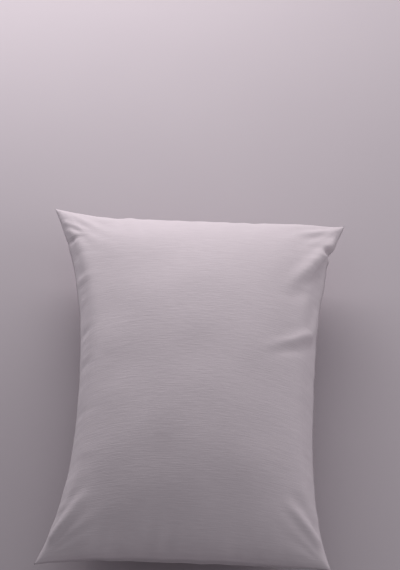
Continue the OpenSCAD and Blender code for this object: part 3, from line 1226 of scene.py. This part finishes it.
@dataclass(frozen=True)
class StitchRow:
    """Sizes of one kind of stitching."""

    pitch: float = 0.0030
    length: float = 0.0025
    radius: float = 0.0003
    turn: float = 0.0
    unevenness: float = 0.05
    seed: int = 7

    def sew(
        self,
        name: str,
        tree: StitchTree,
        wardrobe: Wardrobe,
        paths: list[tuple[np.ndarray, np.ndarray]],
        closed: bool = False,
    ) -> bpy.types.Object:
        """Lay the stitches along paths and return them as one plain mesh.

        Args:
            name: Name of the piece.
            tree: The stitch tree.
            wardrobe: Holder of the thread's material.
            paths: For each row, its points and the direction that the stitches stand out in.
            closed: Whether each path meets its own start.

        Returns:
            The stitches.
        """
        points = np.concatenate([p for p, _ in paths])
        ups = np.concatenate([np.broadcast_to(n, p.shape) for p, n in paths])
        edges, start = [], 0
        for path, _ in paths:
            edges += [(start + i, start + i + 1) for i in range(len(path) - 1)]
            if closed:
                edges.append((start + len(path) - 1, start))
            start += len(path)
        mesh = bpy.data.meshes.new(name + "_path")
        mesh.from_pydata(points.tolist(), edges, [])
        layer = mesh.attributes.new("up", "FLOAT_VECTOR", "POINT")
        layer.data.foreach_set("vector", ups.astype(np.float32).ravel())
        guide = link(name + "_path", mesh)
        modifier = guide.modifiers.new("stitches", "NODES")
        modifier.node_group = tree.tree
        values = {
            "Pitch": self.pitch,
            "Stitch length": self.length,
            "Thread radius": self.radius,
            "Turn": self.turn,
            "Unevenness": self.unevenness,
            "Seed": self.seed,
            "Thread": wardrobe.materials[THREAD.name],
        }
        for title, value in values.items():
            modifier[tree.ids[title]] = value
        graph = bpy.context.evaluated_depsgraph_get()
        made = bpy.data.meshes.new_from_object(guide.evaluated_get(graph))
        bpy.data.objects.remove(guide)
        bpy.data.meshes.remove(mesh)
        made.name = name
        made.polygons.foreach_set("use_smooth", [True] * len(made.polygons))
        return link(name, made)


# ---- the pillowcase ----


@dataclass
class Pillowcase:
    """The case: two panels, a hemmed mouth, a tuck-in flap, overlocked seams and their sewing."""

    form: PillowForm
    wardrobe: Wardrobe
    stitches: StitchTree
    cloth: float = 0.0006
    allowance: float = 0.009
    hem: float = 0.025
    flap_depth: float = 0.150
    flap_hem: float = 0.012
    stitch_in: float = 0.003
    seam_stitch_in: float = 0.0054
    panel: tuple[float, float] = (0.5, 0.7)
    ply_gap: float = 0.00005
    flap_loose: float = 0.0004
    tack_in: float = 0.0042
    tack_length: float = 0.009

    def along(self, from_mouth: float) -> float:
        """A place along the pillow, from -1 to 1, by its distance from the mouth's fold."""
        return from_mouth / HALF_L - 1.0

    @property
    def flap_lay(self) -> float:
        """Depth of the flap under the case's outside, over the hem's three plies."""
        return 3 * self.cloth + self.flap_loose

    @property
    def setback(self) -> float:
        """How far the back panel's edge stands back from the mouth's fold."""
        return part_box("back_panel")[0].y + HALF_L

    def uvs(self, rows: np.ndarray | None = None) -> np.ndarray:
        """Place of each grid point on the flat cloth."""
        flat = self.form.flat
        return flat if rows is None else self.form.take(flat, rows)

    def slab(
        self,
        name: str,
        side: Side,
        rows: np.ndarray | None,
        outer: float | np.ndarray,
        thickness: float,
        trim: int = 0,
    ) -> bpy.types.Object:
        """Make one ply that follows a side of the case.

        Args:
            name: Name of the piece.
            side: Which side it follows.
            rows: Its row numbers, or None for all.
            outer: Depth of its outer face under the case's outside.
            thickness: How thick it is.
            trim: How many columns it stops short of the seams.

        Returns:
            The ply.
        """
        kept = slice(trim, self.form.columns - trim)
        outside = self.form.skin(side, outer, rows)[:, kept]
        inside = self.form.skin(side, np.asarray(outer) + thickness, rows)[:, kept]
        upper, lower = (outside, inside) if side is Side.FRONT else (inside, outside)
        return cloth_slab(name, upper, lower, self.uvs(rows)[:, kept])

    def build(self) -> None:
        """Make and dress every piece of the case."""
        mouth = self.along(self.setback)
        front = self.slab("front_panel_cloth", Side.FRONT, None, self.ply_gap, self.cloth)
        back_rows = self.form.between(mouth, 1.0)
        back = self.slab("back_panel_cloth", Side.BACK, back_rows, self.ply_gap, self.cloth)
        hem_rows = self.form.between(mouth, self.along(self.setback + self.hem), 10)
        hem_depth = self.cloth + 2 * self.ply_gap
        hem = self.slab("mouth_hem_cloth", Side.BACK, hem_rows, hem_depth, 2 * self.cloth, 2)
        flap, flap_hem = self.flap(mouth)
        dress = self.wardrobe.dress
        dress(front, COTTON, CASE, "front_panel")
        dress(back, COTTON, CASE, "back_panel")
        dress(hem, COTTON, CASE, "mouth_hem")
        dress(flap, COTTON, CASE, "envelope_flap")
        dress(flap_hem, COTTON, CASE, "flap_hem")
        self.seams()
        self.hem_sewing()
        self.label()

    def flap(self, mouth: float) -> tuple[bpy.types.Object, bpy.types.Object]:
        """Make the flap that tucks in behind the mouth, and its hem.

        Args:
            mouth: Where the back panel's edge is, from -1 to 1.

        Returns:
            The flap and its hem.
        """
        lay = self.flap_lay
        end = self.along(self.flap_depth)
        rows = self.form.between(-1.0, end)
        v = rows / (self.form.rows - 1) * 2.0 - 1.0
        share = np.minimum(1.0, (v + 1.0) / (mouth + 1.0))
        depth = 2 * self.ply_gap + (lay - 2 * self.ply_gap) * share
        flap = self.slab("tuck_in_flap_cloth", Side.BACK, rows, depth, self.cloth)
        hem_rows = self.form.between(self.along(self.flap_depth - self.flap_hem), end, 5)
        hem_depth = lay + self.cloth + self.ply_gap
        hem = self.slab("flap_hem_cloth", Side.BACK, hem_rows, hem_depth, 2 * self.cloth, 4)
        return flap, hem

    def seam_path(self, edge: Edge, inset: float, height: float, short: float = 0.0) -> np.ndarray:
        """A path inside one seam.

        Args:
            edge: Which seam.
            inset: How far inside the seam line.
            height: Its height over the seam line.
            short: How far it stops short of the corners.

        Returns:
            The path's points, at even steps.
        """
        form = self.form
        line = form.skin(Side.FRONT, 0.0)[edge.place]
        across = edge.value[1] is None
        inward = -np.sign(line[len(line) // 2] * [1.0, 1.0, 0.0])
        inward = inward * ([0, 1, 0] if across else [1, 0, 0])
        path = line + inward * inset + [0.0, 0.0, height]
        axis = 0 if across else 1
        reach = (HALF_W if axis == 0 else HALF_L) - short
        return form.evenly(path[np.abs(path[:, axis]) <= reach], 0.002)

    def seams(self) -> None:
        """Make each seam's allowance and its stitches, and the bar tacks at the mouth."""
        half = SEAM_PLIES / 2
        sewn = {Edge.LEFT: "left", Edge.RIGHT: "right", Edge.CLOSED_END: "closed_end"}
        for edge, title in sewn.items():
            strips = []
            for inset in np.linspace(0.0009, self.allowance, 7):
                strips.append(self.seam_path(edge, inset, 0.0, 0.011 + inset))
            count = min(len(s) for s in strips)
            strips = [s[np.linspace(0, len(s) - 1, count).round().astype(int)] for s in strips]
            if edge is not Edge.LEFT:
                strips.reverse()
            columns = np.stack(strips, axis=0 if edge is Edge.CLOSED_END else 1)
            wave = 0.00018 * np.sin(columns[..., :1] * 700.0 + columns[..., 1:2] * 700.0)
            upper, lower = columns + UP * (half * 0.9 + wave), columns + UP * (wave - half * 0.9)
            piece = cloth_slab(f"{title}_overlocked_allowance", upper, lower, columns[..., :2])
            face_out(piece)
            self.wardrobe.dress(piece, COTTON, CASE, f"{title}_seam_allowance")
            path = self.seam_path(edge, self.seam_stitch_in, half + STITCH_RIDE, 0.020)
            row = StitchRow(seed=11).sew(
                f"{title}_seam_stitches", self.stitches, self.wardrobe, [(path, UP)]
            )
            self.wardrobe.dress(row, THREAD, CASE, f"{title}_seam_thread")
        tacks = []
        for edge in (Edge.LEFT, Edge.RIGHT):
            path = self.seam_path(edge, self.tack_in, half + STITCH_RIDE, 0.0)
            far = path[:, 1] + HALF_L
            held = (far > self.setback) & (far < self.setback + self.tack_length)
            tacks.append((path[held], UP))
        bar = StitchRow(0.0006, 0.0022, 0.0003, math.pi / 2 - 0.18, 0.12, 5)
        piece = bar.sew("mouth_bar_tacks", self.stitches, self.wardrobe, tacks)
        self.wardrobe.dress(piece, THREAD, CASE, "mouth_bartacks")

    def hem_sewing(self) -> None:
        """Sew the two hems."""
        form = self.form
        hem_at = self.along(self.setback + self.hem - self.stitch_in)
        flap_at = self.along(self.flap_depth - self.flap_hem + self.stitch_in)
        inner = slice(4, -4)
        lay = self.flap_lay + 3 * self.cloth
        for name, node, at, depth, out in (
            ("mouth_hem_stitches", "mouth_hem_thread", hem_at, 0.0, 1.0),
            ("flap_hem_stitches", "flap_hem_thread", flap_at, lay + 0.0002, -1.0),
        ):
            rows = np.array([form.row_of(at)])
            path = form.skin(Side.BACK, depth, rows)[0][inner]
            normal = unit(form.take(form.back_normal, rows))[0][inner] * out
            sewn = StitchRow(seed=17).sew(name, self.stitches, self.wardrobe, [(path, normal)])
            self.wardrobe.dress(sewn, THREAD, CASE, node)

    def label(self) -> None:
        """Make the blank care label on the inside of the back panel."""
        low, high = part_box("case_care_label")
        x, y = np.meshgrid(np.linspace(low.x, high.x, 13), np.linspace(low.y, high.y, 19))
        floor = self.form.skin(Side.BACK, self.cloth + 2 * self.ply_gap)
        base = height_over(floor, x, y)
        curl = 0.0004 * ramp((y - low.y) / (high.y - low.y), 0.4, 1.0)
        points = np.stack([x, y, base + 0.0001 + curl], axis=-1)
        raised = points + [0, 0, high.z - low.z]
        piece = cloth_slab("case_care_label_tape", raised, points, points[..., :2])
        self.wardrobe.dress(piece, LABEL, CASE, "case_care_label")


def height_over(grid: np.ndarray, x: np.ndarray, y: np.ndarray) -> np.ndarray:
    """The height of a grid of points over places in plan.

    Args:
        grid: Points as (rows, columns, 3).
        x: Places across.
        y: Places along.

    Returns:
        The height at each place, by its four nearest points.
    """
    flat = grid.reshape(-1, 3)
    out = np.empty(x.shape)
    for place in np.ndindex(*x.shape):
        far = np.hypot(flat[:, 0] - x[place], flat[:, 1] - y[place])
        near = np.argpartition(far, 4)[:4]
        weight = 1.0 / (far[near] + 1e-6)
        out[place] = (flat[near, 2] * weight).sum() / weight.sum()
    return out


# ---- the insert ----


@dataclass
class Insert:
    """The stuffed insert: piped ticking over three layers of carded fibre."""

    form: PillowForm
    wardrobe: Wardrobe
    stitches: StitchTree
    ticking: float = 0.0004
    sink: float = 0.0062
    cover_radius: float = 0.00205
    cord_radius: float = 0.00155
    bore_radius: float = 0.00165
    flange: float = 0.008
    flange_half: float = 0.00045
    ply_gap: float = 0.00005
    edge_inset: float = 0.0167
    piping_inset: float = 0.01385
    closing: float = 0.16
    fill_inset: float = 0.0271
    fill_sink: float = 0.0026
    top_share: float = 0.4
    flat_size: tuple[float, float] = (0.47, 0.67)
    groove: float = 0.0004
    stitch_height: float = 0.00095
    twist_length: float = 0.011
    fibre_edge: float = 0.0015

    def wrinkled(self, side: Side, extra: float) -> np.ndarray:
        """One face of the ticking, with the puckers that its piped seam leaves.

        Args:
            side: Which face.
            extra: How far it lies under the ticking's outside.

        Returns:
            The points.
        """
        form = self.form
        half = self.flange_half + self.ply_gap
        up = side is Side.FRONT
        rise = form.front[..., 2].max() - self.sink if up else SEAM_Z - self.sink + 0.001
        low = 0.0 if up else self.sink - 0.001 + extra
        points = form.smaller(side, self.edge_inset + extra, side.value * half, rise - half - extra, low)
        from_edge = form.edge_distance()
        fade = np.exp(-from_edge / 0.03) * ramp(from_edge, 0.0, 0.01)
        along_side = ripple(form.y, 0.1 * form.x, (0.016, 0.035), 71)
        along_end = ripple(form.x, 0.1 * form.y, (0.016, 0.035), 73)
        waves = np.where(form.near_side(), along_side, along_end)
        broad = 0.0003 * (1.0 + ripple(form.x, form.y, (0.07, 0.16), 79))
        lift = -0.0007 * (1.0 + waves) * fade - broad * ramp(from_edge, 0.02, 0.06)
        if not up:
            lift = np.where(points[..., 2] < low + 0.004, 0.0, lift)
        normal = grid_normals(points) * side.value
        return points + normal * lift[..., None]

    def build(self) -> None:
        """Make and dress every piece of the insert."""
        dress = self.wardrobe.dress
        faces = {side: [self.wrinkled(side, d) for d in (0.0, self.ticking)] for side in Side}
        top = cloth_slab("ticking_top_cloth", *faces[Side.FRONT], self.form.flat)
        bottom = cloth_slab("ticking_bottom_cloth", *faces[Side.BACK][::-1], self.form.flat)
        dress(top, TICKING, INSERT, "ticking_top")
        dress(bottom, TICKING, INSERT, "ticking_bottom")
        self.piping()
        self.sewing()
        self.label()
        self.filling()

    def piping(self) -> None:
        """Make the bias cover, with its flange in the seam, and the twisted cord inside it."""
        path = self.form.outline(self.piping_inset, 0.0, 0.0025)
        ahead = unit(np.roll(path, -1, axis=0) - np.roll(path, 1, axis=0))
        out = unit(np.cross(ahead, UP))
        up = np.cross(out, ahead)
        along = np.concatenate([[0.0], np.cumsum(np.linalg.norm(np.diff(path, axis=0), axis=1))])
        outer = math.asin(self.flange_half / self.cover_radius)
        inner = math.asin(self.ply_gap / self.bore_radius)
        end = -self.cover_radius - self.flange
        section = [(end, -self.flange_half)]
        for radius, start, turn in ((self.cover_radius, outer, 1.0), (self.bore_radius, inner, -1.0)):
            if turn < 0:
                section += [(end, self.flange_half), (end, self.ply_gap)]
            for angle in np.linspace(start, 2.0 * math.pi - start, 17):
                section.append((-radius * math.cos(angle), -turn * radius * math.sin(angle)))
        section.append((end, -self.ply_gap))
        across, rise = np.array(section).T
        on_cord = (np.abs(across) < self.cover_radius * 1.01)[None, :]
        gather = 1.0 + 0.03 * np.sin(along * 900.0)[:, None] * on_cord
        shift = (across * gather)[..., None], (rise * gather)[..., None]
        rings = path[:, None] + out[:, None] * shift[0] + up[:, None] * shift[1]
        cover = ring_tube("piping_bias_cover", rings, along, True)
        self.wardrobe.dress(cover, PIPING, INSERT, "piping_cover")
        turns = np.linspace(0.0, 2.0 * math.pi, 12, endpoint=False)
        whole = round(along[-1] / self.twist_length)
        twist = 2.0 * math.pi * whole * np.arange(len(path)) / len(path)
        lobes = self.cord_radius * (0.84 + 0.12 * np.cos(3.0 * (turns[None, :] - twist[:, None] / 3.0)))
        cosines, sines = np.cos(turns)[None, :, None], np.sin(turns)[None, :, None]
        rings = path[:, None] + lobes[..., None] * (out[:, None] * cosines + up[:, None] * sines)
        cord = ring_tube("piping_twisted_cord", rings, along, True)
        self.wardrobe.dress(cord, CORD, INSERT, "piping_cord")

    def sewing(self) -> None:
        """Sew the ticking's seam all round, and its hand-sewn closing at the mouth end."""
        groove = self.edge_inset - self.groove
        path = self.form.outline(groove, self.stitch_height)
        seam = StitchRow(0.0028, 0.0023, 0.0003, 0.0, 0.05, 23)
        row = seam.sew("ticking_seam_stitches", self.stitches, self.wardrobe, [(path, UP)], True)
        self.wardrobe.dress(row, THREAD, INSERT, "ticking_seam_thread")
        path = self.form.outline(groove, -self.stitch_height)
        path = path[(path[:, 1] < 0.0) & (np.abs(path[:, 0]) < self.closing / 2)]
        path = path[np.argsort(path[:, 0])]
        hand = StitchRow(0.0042, 0.0036, 0.0003, 0.6, 0.16, 29)
        row = hand.sew("hand_closing_stitches", self.stitches, self.wardrobe, [(path, -UP)])
        self.wardrobe.dress(row, THREAD, INSERT, "ticking_closing_thread")

    def label(self) -> None:
        """Make the blank care label that lies out over the piping."""
        low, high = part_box("insert_care_label")
        x = np.linspace(low.x, high.x, 17)
        edge = self.form.outline(self.piping_inset, 0.0, 0.002)
        edge = edge[edge[:, 1] < 0.0]
        edge = edge[np.argsort(edge[:, 0])]
        y0 = np.interp(x, edge[:, 0], edge[:, 1])
        z0 = np.interp(x, edge[:, 0], edge[:, 2])
        reach = np.linspace(-0.0095, 0.0024, 14)[:, None]
        over = self.cover_radius + 0.00015 - 0.0017 * ramp(-reach, 0.002, 0.0095)
        z = z0[None, :] + over + 0.0003 * np.sin((x - x[0]) * 160.0)[None, :]
        lower = np.stack([np.broadcast_to(x, z.shape), y0[None, :] + reach, z], axis=-1)
        raised = lower + [0, 0, high.z - low.z]
        piece = cloth_slab("insert_care_label_tape", raised, lower, lower[..., :2])
        self.wardrobe.dress(piece, LABEL, INSERT, "insert_care_label")

    def filling(self) -> None:
        """Make the three layers of carded fibre."""
        form = self.form
        rise = form.front[..., 2].max() - self.sink - self.fill_sink
        fall = SEAM_Z - self.sink - self.fill_sink
        edge = self.fibre_edge
        rough = 0.0006 * ripple(form.x, form.y, (0.012, 0.03), 83, 40)
        rough = rough * ramp(form.edge_distance(), 0.0, 0.02)
        floor = self.sink + self.fill_sink

        def layer(side: Side, at: float, share: float, lift: float = 0.0) -> np.ndarray:
            """One face of a layer.

            Args:
                side: Which side of the seam it follows.
                at: Height of its edge over the seam.
                share: Share of the insert's rise or fall.
                lift: Extra roughness under or over it.

            Returns:
                The points.
            """
            height = (rise if side is Side.FRONT else fall) * share - abs(at)
            low = floor if side is Side.BACK else 0.0
            points = form.smaller(side, self.fill_inset, at, height, low)
            return points + lift * rough[..., None] * UP

        cuts = {
            "fibre_top_layer": (
                layer(Side.FRONT, 3.2 * edge, 0.985, 1.0),
                layer(Side.FRONT, 2.0 * edge, 1 - self.top_share, 1.0),
            ),
            "fibre_core": (
                layer(Side.FRONT, edge, 1 - self.top_share - 0.02, 1.0),
                layer(Side.BACK, -edge, 1 - self.top_share - 0.02),
            ),
            "fibre_bottom_layer": (
                layer(Side.BACK, -2.0 * edge, 1 - self.top_share),
                layer(Side.BACK, -3.2 * edge, 1.0),
            ),
        }
        uvs = form.flat[::2, ::2]
        for node, (upper, lower) in cuts.items():
            thick = np.maximum(upper[..., 2], lower[..., 2] + 0.001)
            upper = np.concatenate([upper[..., :2], thick[..., None]], axis=-1)
            piece = cloth_slab(node + "_batt", upper[::2, ::2], lower[::2, ::2], uvs)
            self.wardrobe.dress(piece, FIBRE, INSERT, node)


# ---- studio ----


@dataclass
class Studio:
    """The floor, the camera and the lights."""

    azimuth: float = 2.4
    elevation: float = 59.0
    distance: float = 10.0
    frame_height: float = 0.964
    aim: tuple[float, float, float] = (0.006, 0.206, 0.086)
    floor_half: float = 4.0

    def direction(self) -> Vector:
        """Direction from what the camera aims at to the camera."""
        a, e = math.radians(self.azimuth), math.radians(self.elevation)
        return Vector((math.sin(a) * math.cos(e), -math.cos(a) * math.cos(e), math.sin(e)))

    def camera(self) -> None:
        """Set up a long lens that looks down at the pillow from its mouth end."""
        data = bpy.data.cameras.new("camera")
        data.sensor_fit = "VERTICAL"
        data.sensor_height = 36.0
        data.lens = data.sensor_height * self.distance / self.frame_height
        data.clip_end = 50.0
        camera = link("camera", data)
        camera.location = Vector(self.aim) + self.direction() * self.distance
        camera.rotation_euler = (-self.direction()).to_track_quat("-Z", "Y").to_euler()
        bpy.context.scene.camera = camera

    def floor(self) -> None:
        """Lay a plain pale floor."""
        half = self.floor_half
        corners = ((-half, -half, 0.0), (half, -half, 0.0), (half, half, 0.0), (-half, half, 0.0))
        points = np.array(corners)
        floor = mesh_object("floor", points, [(0, 1, 2, 3)])
        material = bpy.data.materials.new("pale_floor")
        material.use_nodes = True
        kit = Nodes(material.node_tree)
        material.node_tree.nodes.clear()
        where = kit.add("ShaderNodeTexCoord").outputs["Object"]
        mottle = kit.add("ShaderNodeTexNoise", {"Vector": where, "Scale": 3.0, "Detail": 4.0})
        colour = kit.blend(mottle.outputs[0], (0.475, 0.420, 0.455, 1.0), (0.505, 0.450, 0.482, 1.0))
        shader = kit.add("ShaderNodeBsdfPrincipled", {
            "Base Color": colour, "Roughness": 0.9, "Specular IOR Level": 0.1,
        })
        kit.add("ShaderNodeOutputMaterial", {"Surface": shader.outputs[0]})
        floor.data.materials.append(material)

    def area(
        self,
        name: str,
        place: tuple[float, float, float],
        aim: tuple[float, float, float],
        size: tuple[float, float],
        power: float,
        colour: tuple[float, float, float],
    ) -> None:
        """Set up one soft light.

        Args:
            name: Name of the light.
            place: Where it is.
            aim: What it faces.
            size: Its width and height.
            power: Its power in watts.
            colour: Its colour.
        """
        data = bpy.data.lights.new(name, "AREA")
        data.shape = "RECTANGLE"
        data.size, data.size_y = size
        data.energy = power
        data.color = colour
        light = link(name, data)
        light.location = place
        light.rotation_euler = (Vector(aim) - Vector(place)).to_track_quat("-Z", "Y").to_euler()

    def lights(self) -> None:
        """Light the pillow from beyond its closed end, with a soft top light and a fill."""
        over = (0.0, 0.15, 0.08)
        warm, cool, blue = (1.0, 0.985, 0.99), (0.98, 0.985, 1.0), (0.90, 0.95, 1.0)
        self.area("far_window", (0.0, 1.6, 0.8), over, (1.6, 0.7), 13.2, warm)
        self.area("low_window", (-0.35, 1.15, 0.55), over, (1.0, 0.4), 4.6, (1.0, 0.98, 0.98))
        self.area("top_light", (0.0, 0.2, 1.8), (0.0, 0.0, 0.0), (1.6, 1.6), 1.3, cool)
        self.area("right_fill", (1.5, 0.0, 0.9), (0.0, 0.0, 0.08), (1.0, 1.0), 5.2, cool)
        self.area("left_fill", (-1.1, 0.9, 0.45), (-0.2, 0.2, 0.08), (0.6, 0.4), 1.8, blue)
        world = bpy.data.worlds.new("studio")
        world.use_nodes = True
        back = world.node_tree.nodes["Background"]
        back.inputs[0].default_value = (0.93, 0.93, 0.97, 1.0)
        back.inputs[1].default_value = 0.29
        bpy.context.scene.world = world
        bpy.context.scene.view_settings.view_transform = "Standard"

    def build(self) -> None:
        """Set up the camera, the floor and the lights."""
        self.camera()
        self.floor()
        self.lights()


def main() -> None:
    """Build the pillow piece by piece."""
    logging.basicConfig(level=logging.INFO, format="%(message)s")
    Studio().build()
    wardrobe, stitches = Wardrobe(), StitchTree()
    form = PillowForm()
    Pillowcase(form, wardrobe, stitches).build()
    Insert(form, wardrobe, stitches).build()


if __name__ == "__main__":
    main()
